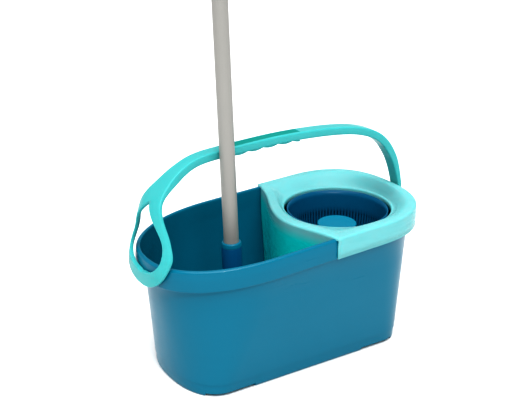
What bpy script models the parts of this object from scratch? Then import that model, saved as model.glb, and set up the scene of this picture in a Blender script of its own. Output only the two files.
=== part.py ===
"""Spin mop set: an oval bucket with a bail handle, a push-on insert over a turning wringer basket,
and a disc mop that stands in the wash compartment and is spun by pumping its telescopic handle.

Metres, +Z up, +X towards the basket, -X towards the pouring end. Every piece hangs from the empty
"object_centre", which centres the set on the origin; inside it, x = 0 is the bucket's own middle.
"""

import math

import bmesh
import bpy
from mathutils import Matrix, Vector

GAP = 0.0003  # clearance between faces that touch
SWING_GAP = 0.0005  # clearance between the bail and what it swings past

# Bucket. Each outline is (left end x, right end x, half width, left bow, right bow).
RIM_LENGTH = 0.500
RIM_WIDTH = 0.277
RIM_HEIGHT = 0.2455  # at x = 0
RIM_SLOPE = 0.046  # the rim rises towards the basket
RIM_DIP = 0.0075  # how far it dips below that slope at the pouring end
RIM = (0.003 - RIM_LENGTH / 2, 0.003 + RIM_LENGTH / 2, RIM_WIDTH / 2, 0.185, 0.130)
WALL_TOP = (RIM[0] + 0.0155, RIM[1] - 0.0145, RIM[2] - 0.007, 0.165, 0.115)
BASE = (RIM[0] + 0.036, RIM[1] - 0.032, RIM[2] - 0.0355, 0.060, 0.056)
LEFT_POWER = 2.25  # roundness of the pouring end; 2 is an ellipse
RIGHT_POWER = 2.5
SKIRT_HEIGHT = 0.035
RIM_BAND = 0.009
WALL = 0.003
FLOOR = 0.0085
FOOT_HEIGHT = 0.006
FOOT_GAPS = ((-0.188, -0.102), (0.118, 0.189))  # x ranges between the foot pads
STEP_HEIGHT = 0.022  # faint step round the foot of the wall
STEP_DEPTH = 0.001
OUTLINE_STEPS = 13  # points on each half end of an outline

# Push-on insert: deck, skirt over the rim, and the divider wall down into the bucket
INSERT_WALL = 0.0025
DIVIDER = (  # (distance from the basket's axis in x, share of the clear half width in y)
    (0.080, 1.0), (0.087, 0.824), (0.098, 0.612), (0.114, 0.353), (0.126, 0.110),
    (0.132, -0.118), (0.131, -0.329), (0.124, -0.533), (0.115, -0.745), (0.106, -1.0),
)
DIVIDER_HALF_WIDTH = WALL_TOP[2] - 0.004
DIVIDER_BOTTOM = 0.030
OPENING_RADIUS = 0.0945
BASKET_X = RIM[1] - OPENING_RADIUS - 0.0245
WASH_LENGTH = BASKET_X - 0.132 - BASE[0]  # from the pouring end to the divider, at the floor
SEAM_FAR = BASKET_X - 0.078  # where the skirt begins on the far side
SEAM_NEAR = BASKET_X - 0.102
OPENING_HEIGHT = RIM_HEIGHT - 0.008
OPENING_LIP = 0.012
DECK_BRIM = 0.013  # level band of the deck that lies on the rim

# Wringer basket and what carries it
BASKET_RADIUS = OPENING_RADIUS - 0.0025
BASKET_BASE_RADIUS = BASKET_RADIUS - 0.012
BASKET_WALL = 0.0022
BASKET_FLOOR = 0.0028
BASKET_TOP = OPENING_HEIGHT - 0.0035
BASKET_BOTTOM = BASKET_TOP - 0.127
SLOT_COUNT = 36
SLOT_WIDTH = 0.0032
SLOT_TOP = BASKET_TOP - 0.044
HUB_RADIUS = 0.035
COLUMN_RADIUS = HUB_RADIUS - 0.0025
HUB_TOP = BASKET_TOP - 0.028
HUB_THICKNESS = 0.0035
AXLE_RADIUS = 0.004
BOSS_WALL = 0.007  # round the axle, inside the basket's column
BEARING_HEIGHT = 0.040
WASHER_THICKNESS = 0.002
POST_RADIUS = 0.030

# Bail handle
PIVOT_HEIGHT = RIM_HEIGHT - 0.046
LOOP_THICKNESS = 0.007
LEG_THICKNESS = 0.008
BAIL_LEFT = RIM[0] - SWING_GAP - LOOP_THICKNESS
BAIL_RIGHT = RIM[1] + 0.011 + LEG_THICKNESS
BAIL_CURVE = (  # outer face: (share of the half span in x, height above the pivots)
    (-1.000, -0.0115), (-1.000, 0.0555), (-0.982, 0.0920), (-0.927, 0.1230),
    (-0.826, 0.1505), (-0.728, 0.1700), (-0.606, 0.1835), (-0.413, 0.1890), (0.005, 0.1935),
    (0.385, 0.1895), (0.639, 0.1785), (0.816, 0.1560), (0.930, 0.1170), (0.983, 0.0710),
    (1.000, 0.0305), (1.000, -0.0125),
)
ARCH_HALF_WIDTH = 0.0125
ARCH_THICKNESS = 0.014
LOOP_WRAP = 640.0  # how strongly the loop wraps round the bucket's end, per cubic metre
LOOP_WIDEST = 0.053  # distances along the bail from its left tip
LOOP_END = 0.240
LOOP_HALF_WIDTH = 0.0645
LOOP_TAPER = (  # (distance, half width) from the widest place up to the arch
    (LOOP_WIDEST, LOOP_HALF_WIDTH), (0.080, 0.0545), (0.116, 0.0390), (0.150, 0.0265),
    (0.180, 0.0185), (0.210, 0.0140), (LOOP_END, ARCH_HALF_WIDTH),
)
HOLE_START = 0.023
HOLE_WIDEST = 0.056
HOLE_END = 0.141
HOLE_HALF_WIDTH = 0.0515
LEG_HALF_WIDTH = 0.0125
LEG_LENGTH = 0.150
PIN_RADIUS = 0.006
BUSH_RADIUS = PIN_RADIUS + 0.0045
BOSS_RADIUS = PIN_RADIUS + 0.006
GRIP_START_X = -0.105
GRIP_END_X = 0.045
INLAY_HALF_WIDTH = 0.0085
INLAY_THICKNESS = 0.002
UNDERSIDE_HALF_WIDTH = 0.0100
UNDERSIDE_SEAT = 0.0040
SCALLOPS = 5
SCALLOP_DEPTH = 0.0030

# Mop head, standing on the bucket's floor
LOWER_TUBE_RADIUS = 0.0125
COLLAR_RADIUS = LOWER_TUBE_RADIUS + 0.0045
MOP_X = BASE[0] + WASH_LENGTH / 2 + 0.0085
MOP_Y = -ARCH_HALF_WIDTH - COLLAR_RADIUS - 0.0005
PAD_RADIUS = min(BASE[2] + MOP_Y - 0.005, WASH_LENGTH * 0.45)
PAD_THICKNESS = 0.014
PLATE_RADIUS = PAD_RADIUS - 0.008
PLATE_THICKNESS = 0.0045
PLATE_HUB_RADIUS = 0.017
BOLT_RADIUS = 0.004
FORK_PIN_HEIGHT = 0.056  # above the bucket's floor
FORK_PIN_RADIUS = 0.0035
EAR_RADIUS = 0.009
EAR_THICKNESS = 0.006
TONGUE_HALF_WIDTH = 0.009

# Handle, measured along its own axis from the fork pin
HANDLE_LEAN = math.radians(-2.3)
COLLAR_BOTTOM = 0.020
COLLAR_TOP = 0.1635
COLLAR_RING_HEIGHT = 0.008
SOCKET_BOTTOM = 0.085
LOWER_TUBE_TOP = 0.620
UPPER_TUBE_RADIUS = LOWER_TUBE_RADIUS - 0.0015
UPPER_TUBE_BOTTOM = 0.440
UPPER_TUBE_TOP = 0.985
TUBE_WALL = 0.0011
JOURNAL_RADIUS = 0.0032  # the spindle's round foot
SPINDLE_HALF_SIDE = 0.0028
SPINDLE_LEAD = 0.100  # advance for one turn of the head
SPINDLE_TOP = UPPER_TUBE_BOTTOM + 0.012
SPINDLE_STEP = math.radians(24)
NUT_HEIGHT = 0.024
SLEEVE_BOTTOM = 0.575
LOCK_RING_RADIUS = LOWER_TUBE_RADIUS + 0.006
LOCK_RING_HEIGHT = 0.042
SLEEVE_WALL = 0.0025
GRIP_LENGTH = 0.115
GRIP_RADIUS = UPPER_TUBE_RADIUS + 0.0035
CAP_HEIGHT = 0.034

CENTRE_SHIFT = -(BAIL_LEFT + BAIL_RIGHT) / 2


def srgb(red, green, blue):
    return tuple((c / 255) ** 2.2 for c in (red, green, blue)) + (1.0,)


def plastic(name, colour, roughness, metallic=0.0):
    material = bpy.data.materials.new(name)
    material.use_nodes = True
    shader = material.node_tree.nodes["Principled BSDF"]
    shader.inputs["Base Color"].default_value = colour
    shader.inputs["Roughness"].default_value = roughness
    shader.inputs["Metallic"].default_value = metallic
    return material


def empty(name, location, parent=None, rotation=(0.0, 0.0, 0.0)):
    guide = bpy.data.objects.new(name, None)
    guide.location = location
    guide.rotation_euler = rotation
    guide.parent = parent
    bpy.context.collection.objects.link(guide)
    return guide


def place(name, bm, material, parent, sharp=35):
    """Closes a bmesh into a named object, with smooth faces and sharp edges above an angle."""
    bmesh.ops.remove_doubles(bm, verts=bm.verts, dist=1e-6)
    bmesh.ops.recalc_face_normals(bm, faces=bm.faces)
    mesh = bpy.data.meshes.new(name)
    bm.to_mesh(mesh)
    bm.free()
    mesh.shade_smooth()
    mesh.set_sharp_from_angle(angle=math.radians(sharp))
    obj = bpy.data.objects.new(name, mesh)
    obj.parent = parent
    bpy.context.collection.objects.link(obj)
    if material:
        mesh.materials.append(material)
    return obj


def cutter(name, bm, parent):
    obj = place(name, bm, None, parent)
    obj.hide_render = True
    obj.display_type = "WIRE"
    return obj


def boolean(target, tool, operation):
    modifier = target.modifiers.new(operation.title(), "BOOLEAN")
    modifier.operation = operation
    modifier.object = tool
    modifier.solver = "EXACT"


def spin_profile(profile, steps):
    """Turns (radius, height) points about Z. A chain that starts and ends on the axis stays open."""
    bm = bmesh.new()
    verts = [bm.verts.new((radius, 0, height)) for radius, height in profile]
    edges = [bm.edges.new(pair) for pair in zip(verts, verts[1:])]
    if profile[0][0] > 0 or profile[-1][0] > 0:
        edges.append(bm.edges.new((verts[-1], verts[0])))
    bmesh.ops.spin(
        bm, geom=verts + edges, cent=(0, 0, 0), axis=(0, 0, 1), angle=2 * math.pi, steps=steps,
        use_merge=True,
    )
    return bm


def turned(name, profile, material, parent, steps=40):
    return place(name, spin_profile(profile, steps), material, parent)


def along_x(bm, origin):
    """Lays a turned piece's axis along X, with its zero height at the origin."""
    turn = Matrix.Translation(origin) @ Matrix.Rotation(math.pi / 2, 4, "Y")
    bmesh.ops.transform(bm, matrix=turn, verts=bm.verts)
    return bm


def along_y(bm, origin):
    turn = Matrix.Translation(origin) @ Matrix.Rotation(-math.pi / 2, 4, "X")
    bmesh.ops.transform(bm, matrix=turn, verts=bm.verts)
    return bm


def rod(radius, start, end):
    return [(0, start), (radius, start), (radius, end), (0, end)]


def sleeve(inner, outer, start, end):
    return [(inner, start), (outer, start), (outer, end), (inner, end)]


def box(bm, low, high):
    size = Vector(high) - Vector(low)
    middle = (Vector(high) + Vector(low)) / 2
    matrix = Matrix.Translation(middle) @ Matrix.Diagonal((*size, 1.0))
    return bmesh.ops.create_cube(bm, size=1.0, matrix=matrix)["verts"]


def loft(rings):
    """Joins closed rings of the same number of points, with a cap on each end."""
    bm = bmesh.new()
    layers = [[bm.verts.new(point) for point in ring] for ring in rings]
    count = len(layers[0])
    for low, high in zip(layers, layers[1:]):
        for i in range(count):
            j = (i + 1) % count
            bm.faces.new((low[i], low[j], high[j], high[i]))
    bm.faces.new(list(reversed(layers[0])))
    bm.faces.new(layers[-1])
    return bm


def smoothstep(value, low, high):
    t = min(max((value - low) / (high - low), 0.0), 1.0)
    return t * t * (3 - 2 * t)


def through(points, steps):
    """A smooth curve through the points, with the same number of steps between each two."""
    points = [Vector(p) for p in points]
    padded = [2 * points[0] - points[1], *points, 2 * points[-1] - points[-2]]
    curve = []
    for a, b, c, d in zip(padded, padded[1:], padded[2:], padded[3:]):
        for k in range(steps):
            t = k / steps
            curve.append(
                b + 0.5 * t * ((c - a) + t * ((2 * a - 5 * b + 4 * c - d) + t * (3 * (b - c) + d - a)))
            )
    return curve + [points[-1]]


# ---------------------------------------------------------------- bucket

def outline(shape, inset=0.0):
    """An oval with straight sides and superellipse ends, as (x, y) points from the near right corner."""
    left, right, half, left_bow, right_bow = shape
    left, right, half = left + inset, right - inset, half - inset
    left_bow, right_bow = left_bow - inset, right_bow - inset
    points = []
    for k in range(-OUTLINE_STEPS, OUTLINE_STEPS + 1):
        angle = k / OUTLINE_STEPS * math.pi / 2
        reach = abs(math.cos(angle)) ** (2 / RIGHT_POWER)
        side = math.copysign(abs(math.sin(angle)) ** (2 / RIGHT_POWER), angle)
        points.append((right - right_bow + right_bow * reach, half * side))
    for k in range(-OUTLINE_STEPS, OUTLINE_STEPS + 1):
        angle = k / OUTLINE_STEPS * math.pi / 2
        reach = abs(math.cos(angle)) ** (2 / LEFT_POWER)
        side = math.copysign(abs(math.sin(angle)) ** (2 / LEFT_POWER), angle)
        points.append((left + left_bow - left_bow * reach, -half * side))
    return points


def rim_height(x):
    return RIM_HEIGHT + RIM_SLOPE * x - RIM_DIP * min(x / RIM[0], 1.0) ** 2 * (x < 0)


def wall_ring(height, inset=0.0):
    """The wall's outline at a height between the base and the crease under the skirt."""
    ring = []
    for (x0, y0), (x1, y1) in zip(outline(BASE, inset), outline(WALL_TOP, inset)):
        share = height / (rim_height(x1) - SKIRT_HEIGHT)
        ring.append((x0 + (x1 - x0) * share, y0 + (y1 - y0) * share, height))
    return ring


def inner_half_width(height):
    """Half the bucket's clear width at a height, along its straight sides."""
    share = height / (RIM_HEIGHT - SKIRT_HEIGHT)
    return BASE[2] + (WALL_TOP[2] - BASE[2]) * share - WALL


def rim_ring(shape, inset, drop):
    return [(x, y, rim_height(x) - drop) for x, y in outline(shape, inset)]


def make_bucket(parent, material):
    rings = [
        wall_ring(0.0, 0.0045),
        wall_ring(0.0012, 0.0015),
        wall_ring(0.0045, 0.0),
        wall_ring(STEP_HEIGHT, 0.0),
        wall_ring(STEP_HEIGHT + STEP_DEPTH, -STEP_DEPTH),
        wall_ring(0.110, -STEP_DEPTH),
        rim_ring(WALL_TOP, 0.0, SKIRT_HEIGHT),
        rim_ring(RIM, 0.0045, SKIRT_HEIGHT - 0.002),
        rim_ring(RIM, 0.0012, SKIRT_HEIGHT - 0.006),
        rim_ring(RIM, 0.0, SKIRT_HEIGHT - 0.012),
        rim_ring(RIM, 0.0, 0.005),
        rim_ring(RIM, 0.0012, 0.0015),
        rim_ring(RIM, 0.0045, 0.0),
        rim_ring(RIM, RIM_BAND - 0.0015, 0.0005),
        rim_ring(RIM, RIM_BAND, 0.003),
        rim_ring(WALL_TOP, WALL, SKIRT_HEIGHT),
        wall_ring(0.110, WALL),
        wall_ring(FLOOR + 0.012, WALL),
        wall_ring(FLOOR + 0.002, WALL + 0.002),
        wall_ring(FLOOR, WALL + 0.006),
    ]
    bucket = place("bucket_body", loft(rings), material, parent)

    # Under the base a recess leaves a rim, and gaps in the rim leave three foot pads.
    low = -0.01
    recess = [[(x, y, z) for x, y in outline(BASE, 0.016)] for z in (low, FOOT_HEIGHT)]
    boolean(bucket, cutter("base_recess", loft(recess), parent), "DIFFERENCE")
    for name, (start, end) in zip(("foot_gap_left", "foot_gap_right"), FOOT_GAPS):
        bm = bmesh.new()
        box(bm, (start, -0.2, low), (end, 0.2, FOOT_HEIGHT))
        boolean(bucket, cutter(name, bm, parent), "DIFFERENCE")
    holes = (
        ("left_bush_hole", RIM[0] - 0.020, WALL_TOP[0] + 0.020),
        ("right_bush_hole", WALL_TOP[1] - 0.0235, RIM[1] - 0.004),
    )
    for name, start, end in holes:
        bm = along_x(spin_profile(rod(BUSH_RADIUS + GAP, 0, end - start), 32), (start, 0, PIVOT_HEIGHT))
        boolean(bucket, cutter(name, bm, parent), "DIFFERENCE")
    return bucket


# ---------------------------------------------------------------- insert

def deck_edge():
    """The deck's edge as (x, y, kind): the skirt over the rim, then the divider wall, turning left."""
    grown = GAP + INSERT_WALL
    half = RIM[2] + grown
    ends = [p for p in outline(RIM, -grown) if p[0] > SEAM_FAR]
    sides = [(SEAM_NEAR + k * 0.048, -half) for k in range(2)]
    edge = [(x, y, "skirt") for x, y in sides + ends + [(SEAM_FAR + 0.03, half), (SEAM_FAR, half)]]
    edge += [(BASKET_X - p.x, p.y * DIVIDER_HALF_WIDTH, "divider") for p in through(DIVIDER, 2)]
    return edge


def make_insert(parent, material):
    """A sheet with a round opening, thickened inwards: deck, hanging skirt and divider wall."""
    bm = bmesh.new()
    edge = deck_edge()
    columns = []
    for x, y, kind in edge:
        angle = math.atan2(y, x - BASKET_X)
        rim = Vector((math.cos(angle), math.sin(angle)))
        lip = Vector((BASKET_X, 0)) + rim * OPENING_RADIUS
        border = Vector((x, y))
        out = (border - lip).normalized()
        top = rim_height(x) + GAP + INSERT_WALL
        rows = [
            (lip, OPENING_HEIGHT - OPENING_LIP),
            (lip, OPENING_HEIGHT - 0.0015),
            (lip + out * 0.0015, OPENING_HEIGHT),
        ]
        start = lip + out * 0.0015
        brim = border - out * DECK_BRIM
        for share in (0.3, 0.6, 0.85):
            rise = math.sin(share * math.pi / 2) ** 1.3
            rows.append((start.lerp(brim, share), OPENING_HEIGHT + (top - OPENING_HEIGHT) * rise))
        rows.append((brim, top))
        rows.append((border - out * 0.0042, top))
        rows.append((border - out * 0.0012, top - 0.0012))
        rows.append((border, top - 0.0042))
        if kind == "skirt":
            rows.append((border, top - INSERT_WALL - SKIRT_HEIGHT + 0.001))
        else:
            for height in (0.200, 0.110, DIVIDER_BOTTOM):
                share = (inner_half_width(height) - 2 * GAP) / DIVIDER_HALF_WIDTH
                rows.append((Vector((x, y * min(share, 1.0))), height))
        columns.append((kind, [bm.verts.new((*p, z)) for p, z in rows]))
    deck_rows = 8
    for k, (kind, column) in enumerate(columns):
        next_kind, following = columns[(k + 1) % len(columns)]
        shared = min(len(column), len(following)) if kind == next_kind else deck_rows
        for i in range(shared - 1):
            bm.faces.new((column[i], column[i + 1], following[i + 1], following[i]))
    insert = place("spin_insert", bm, material, parent)
    modifier = insert.modifiers.new("Sheet", "SOLIDIFY")
    modifier.thickness = INSERT_WALL
    modifier.offset = -1
    modifier.use_even_offset = True
    return insert


# ---------------------------------------------------------------- basket

def make_basket(axis, root, materials):
    """The basket and everything on its axle. The axis empty sits at the basket's underside."""
    up = BASKET_TOP - BASKET_BOTTOM
    bore = AXLE_RADIUS + GAP
    floor = BASKET_FLOOR
    hub_seat = HUB_TOP - HUB_THICKNESS - BASKET_BOTTOM
    profile = [
        (bore, 0), (BASKET_BASE_RADIUS - 0.009, 0), (BASKET_BASE_RADIUS - 0.002, 0.003),
        (BASKET_BASE_RADIUS, 0.009), (BASKET_RADIUS, up - 0.001), (BASKET_RADIUS - 0.0006, up),
        (BASKET_RADIUS - BASKET_WALL, up), (BASKET_BASE_RADIUS - BASKET_WALL, 0.010),
        (BASKET_BASE_RADIUS - BASKET_WALL - 0.008, floor), (COLUMN_RADIUS, floor),
        (COLUMN_RADIUS - 0.001, hub_seat - GAP), (COLUMN_RADIUS - 0.0035, hub_seat - GAP),
        (COLUMN_RADIUS - 0.0025, floor + 0.002), (AXLE_RADIUS + BOSS_WALL, floor + 0.002),
        (AXLE_RADIUS + BOSS_WALL, BEARING_HEIGHT), (bore, BEARING_HEIGHT),
    ]
    basket = turned("wringer_basket", profile, materials["basket"], axis, 72)
    bm = bmesh.new()
    for k in range(SLOT_COUNT):
        blade = box(
            bm, (BASKET_BASE_RADIUS - 0.012, -SLOT_WIDTH / 2, 0.014),
            (BASKET_RADIUS + 0.01, SLOT_WIDTH / 2, SLOT_TOP - BASKET_BOTTOM),
        )
        turn = Matrix.Rotation((k + 0.5) / SLOT_COUNT * 2 * math.pi, 3, "Z")
        bmesh.ops.rotate(bm, verts=blade, matrix=turn)
    boolean(basket, cutter("slot_blades", bm, axis), "DIFFERENCE")

    hub_top = HUB_TOP - BASKET_BOTTOM
    spigot = COLUMN_RADIUS - 0.0035 - GAP
    hub = [
        (0, hub_seat), (spigot - 0.0025, hub_seat), (spigot - 0.0025, hub_top - 0.012),
        (spigot - 0.0005, hub_top - 0.012), (spigot, hub_seat), (HUB_RADIUS - 0.0005, hub_seat),
        (HUB_RADIUS, hub_top - 0.0028), (HUB_RADIUS, hub_top - 0.0015), (HUB_RADIUS - 0.0015, hub_top),
        (0, hub_top),
    ]
    turned("basket_hub", hub, materials["hub"], axis, 36)

    carrier = empty("post_foot", (BASKET_X, 0, FLOOR + GAP), root)
    washer = BASKET_BOTTOM - GAP - WASHER_THICKNESS
    post_top = washer - GAP - FLOOR - GAP
    seat = post_top - 0.030
    post = [
        (0, 0), (POST_RADIUS, 0), (POST_RADIUS, 0.004), (0.020, 0.012), (0.0125, post_top - 0.004),
        (0.0115, post_top), (AXLE_RADIUS + GAP, post_top), (AXLE_RADIUS + GAP, seat), (0, seat),
    ]
    turned("axle_post", post, materials["bucket"], carrier, 36)
    axle_end = BASKET_BOTTOM + BEARING_HEIGHT + 0.006 - FLOOR - GAP
    axle = [
        (0, seat + GAP), (AXLE_RADIUS, seat + GAP), (AXLE_RADIUS, axle_end - 0.001),
        (AXLE_RADIUS - 0.001, axle_end), (0, axle_end),
    ]
    turned("basket_axle", axle, materials["steel"], carrier, 24)
    ring = sleeve(AXLE_RADIUS + GAP, 0.0105, post_top + GAP, post_top + GAP + WASHER_THICKNESS)
    turned("thrust_washer", ring, materials["steel"], carrier, 24)


# ---------------------------------------------------------------- bail handle

def bail_line():
    """Finely spaced points of the bail's outer face, each with its distance from the left tip."""
    middle, half_span = (BAIL_LEFT + BAIL_RIGHT) / 2, (BAIL_RIGHT - BAIL_LEFT) / 2
    points = through([(middle + share * half_span, PIVOT_HEIGHT + rise) for share, rise in BAIL_CURVE], 12)
    lengths = [0.0]
    for a, b in zip(points, points[1:]):
        lengths.append(lengths[-1] + (b - a).length)
    return points, lengths


BAIL_POINTS, BAIL_LENGTHS = bail_line()
BAIL_LENGTH = BAIL_LENGTHS[-1]
TAPER = through(LOOP_TAPER, 6)


def bail_at(distance):
    """The point (x, z) at a distance along the bail, and the outward direction there."""
    distance = min(max(distance, 0.0), BAIL_LENGTH)
    k = max(i for i in range(len(BAIL_LENGTHS) - 1) if BAIL_LENGTHS[i] <= distance)
    span = BAIL_LENGTHS[k + 1] - BAIL_LENGTHS[k]
    point = BAIL_POINTS[k].lerp(BAIL_POINTS[k + 1], (distance - BAIL_LENGTHS[k]) / span)
    ahead = BAIL_POINTS[min(k + 2, len(BAIL_POINTS) - 1)]
    behind = BAIL_POINTS[max(k - 1, 0)]
    tangent = (ahead - behind).normalized()
    return point, Vector((-tangent.y, tangent.x))


def distance_at_x(x):
    """The distance along the bail where its arch passes a given x."""
    k = next(i for i, p in enumerate(BAIL_POINTS) if p.x > x and p.y > PIVOT_HEIGHT + 0.15)
    return BAIL_LENGTHS[k]


def bail_half_width(s):
    if s < LOOP_WIDEST:
        return LOOP_HALF_WIDTH * math.sqrt(max(1 - ((LOOP_WIDEST - s) / (LOOP_WIDEST + 0.0008)) ** 2, 0))
    if s < LOOP_END:
        a, b = next((a, b) for a, b in zip(TAPER, TAPER[1:]) if b.x >= s)
        return a.y + (b.y - a.y) * (s - a.x) / (b.x - a.x)
    left = BAIL_LENGTH - s
    width = ARCH_HALF_WIDTH + (LEG_HALF_WIDTH - ARCH_HALF_WIDTH) * smoothstep(-left, -LEG_LENGTH, -0.03)
    if left < LEG_HALF_WIDTH:
        width *= math.sqrt(max(1 - ((LEG_HALF_WIDTH - left) / (LEG_HALF_WIDTH + 0.0004)) ** 2, 0))
    return width


def hole_half_width(s):
    if s <= HOLE_START or s >= HOLE_END:
        return 0.0
    if s < HOLE_WIDEST:
        share = (HOLE_WIDEST - s) / (HOLE_WIDEST - HOLE_START)
        return HOLE_HALF_WIDTH * math.sqrt(max(1 - share ** 2, 0))
    return HOLE_HALF_WIDTH * math.cos((s - HOLE_WIDEST) / (HOLE_END - HOLE_WIDEST) * math.pi / 2) ** 1.1


def bail_thickness(s):
    arch = smoothstep(s, HOLE_END, LOOP_END - 0.04)
    thickness = LOOP_THICKNESS + (ARCH_THICKNESS - LOOP_THICKNESS) * arch
    leg = smoothstep(s, BAIL_LENGTH - LEG_LENGTH, BAIL_LENGTH - 0.05)
    return thickness + (LEG_THICKNESS - ARCH_THICKNESS) * leg


def bail_point(s, across, depth):
    """A point of the bail: along it, across it (Y) and below its outer face."""
    point, out = bail_at(s)
    height = point.y - PIVOT_HEIGHT
    wrap = LOOP_WRAP * (1 - smoothstep(s, 0.070, 0.170))
    tuck = wrap * (across ** 4 + 2 * across ** 2 * height ** 2)
    return (point.x - out.x * depth + tuck, across, height - out.y * depth)


def bail_rows():
    """Distances along the bail for its cross-sections, closer where its outline turns fast."""
    rows = [LOOP_WIDEST * (1 - math.cos(k / 10 * math.pi / 2)) for k in range(10)]
    rows += [HOLE_START + 0.0001, HOLE_START + 0.0018, HOLE_START + 0.0055]
    rows += [LOOP_WIDEST + (LOOP_END - LOOP_WIDEST) * k / 21 for k in range(21)]
    rows += [HOLE_END]
    arch_end = BAIL_LENGTH - LEG_HALF_WIDTH
    count = 30
    rows += [LOOP_END + (arch_end - LOOP_END) * k / count for k in range(count + 1)]
    rows += [arch_end + LEG_HALF_WIDTH * math.sin(k / 5 * math.pi / 2) for k in range(1, 6)]
    return sorted(rows)


def make_bail_body():
    """The whole bail as two strips side by side, which part round the loop's hole."""
    bm = bmesh.new()
    shares = (0.0, 1 / 3, 2 / 3, 1.0)
    rows = []
    for s in bail_rows():
        half, hole, thickness = bail_half_width(s), hole_half_width(s), bail_thickness(s)
        layers = []
        for side in (-1, 1):
            strip = [side * (hole + (half - hole) * share) for share in shares]
            layers.append([
                [bm.verts.new(bail_point(s, y, depth)) for y in strip] for depth in (0.0, thickness)
            ])
        rows.append((hole > 0, layers))
    for (open_a, row_a), (open_b, row_b) in zip(rows, rows[1:]):
        for a, b in zip(row_a, row_b):
            for face in range(2):
                for i in range(len(shares) - 1):
                    bm.faces.new((a[face][i], a[face][i + 1], b[face][i + 1], b[face][i]))
            bm.faces.new((a[0][-1], a[1][-1], b[1][-1], b[0][-1]))
            if open_a or open_b:
                bm.faces.new((a[0][0], a[1][0], b[1][0], b[0][0]))
    for layers in (rows[0][1], rows[-1][1]):
        for top, under in layers:
            for i in range(len(shares) - 1):
                bm.faces.new((top[i], top[i + 1], under[i + 1], under[i]))
    return bm


def strip(start, end, half_width, top, bottom, count):
    """A closed bar that follows the bail; top and bottom are depths below its outer face."""
    rings = []
    for k in range(count + 1):
        s = start + (end - start) * k / count
        share = k / count
        corners = ((-1, top), (1, top), (1, bottom(share)), (-1, bottom(share)))
        rings.append([bail_point(s, side * half_width, depth) for side, depth in corners])
    return loft(rings)


def make_bail(axis, materials):
    bail = place("bail_handle", make_bail_body(), materials["handle"], axis, 40)
    inner_face = BAIL_RIGHT - LEG_THICKNESS
    boss_end = WALL_TOP[1] + 0.003
    bm = along_x(spin_profile(rod(BOSS_RADIUS, 0, inner_face + 0.003 - boss_end), 32), (boss_end, 0, 0))
    boolean(bail, cutter("right_boss", bm, axis), "UNION")
    grip_start, grip_end = distance_at_x(GRIP_START_X), distance_at_x(GRIP_END_X)
    recess = strip(
        grip_start, grip_end, INLAY_HALF_WIDTH + GAP, -0.004, lambda share: INLAY_THICKNESS + GAP, 12
    )
    boolean(bail, cutter("inlay_recess", recess, axis), "DIFFERENCE")

    inlay = strip(
        grip_start + GAP, grip_end - GAP, INLAY_HALF_WIDTH, 0.0003, lambda share: INLAY_THICKNESS, 12
    )
    place("grip_inlay", inlay, materials["inlay"], axis)

    seat = ARCH_THICKNESS - UNDERSIDE_SEAT
    recess = strip(
        grip_start, grip_end, UNDERSIDE_HALF_WIDTH + GAP, seat, lambda share: ARCH_THICKNESS + 0.01, 12
    )
    boolean(bail, cutter("underside_recess", recess, axis), "DIFFERENCE")

    def scallop(share):
        return ARCH_THICKNESS + SCALLOP_DEPTH * abs(math.cos(share * SCALLOPS * math.pi))

    under = strip(
        grip_start + GAP, grip_end - GAP, UNDERSIDE_HALF_WIDTH, seat + GAP, scallop, 10 * SCALLOPS
    )
    place("grip_underside", under, materials["handle"], axis)

    sides = (
        ("left", BAIL_LEFT + LOOP_THICKNESS, RIM[0], WALL_TOP[0] + WALL + 0.009),
        ("right", boss_end, WALL_TOP[1] + 0.0006, WALL_TOP[1] - 0.0105),
    )
    for side, face, mouth, blind in sides:
        inward = math.copysign(1.0, blind - face)
        length = abs(mouth - blind)
        shell = [
            (0, 0), (BUSH_RADIUS, 0), (BUSH_RADIUS, length), (PIN_RADIUS + GAP, length),
            (PIN_RADIUS + GAP, 0.0025), (0, 0.0025),
        ]
        bm = spin_profile(shell, 28)
        if inward > 0:
            bmesh.ops.rotate(bm, verts=bm.verts, matrix=Matrix.Rotation(math.pi, 3, "X"))
        bush = along_x(bm, (blind, 0, PIVOT_HEIGHT))
        place(f"{side}_pivot_bush", bush, materials["bucket"], axis.parent)
        start = face + inward * GAP
        end = blind - inward * (0.0025 + GAP)
        bm = spin_profile(rod(PIN_RADIUS, 0, abs(end - start)), 28)
        place(f"{side}_pivot_pin", along_x(bm, (min(start, end), 0, 0)), materials["handle"], axis)


# ---------------------------------------------------------------- mop head

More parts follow.
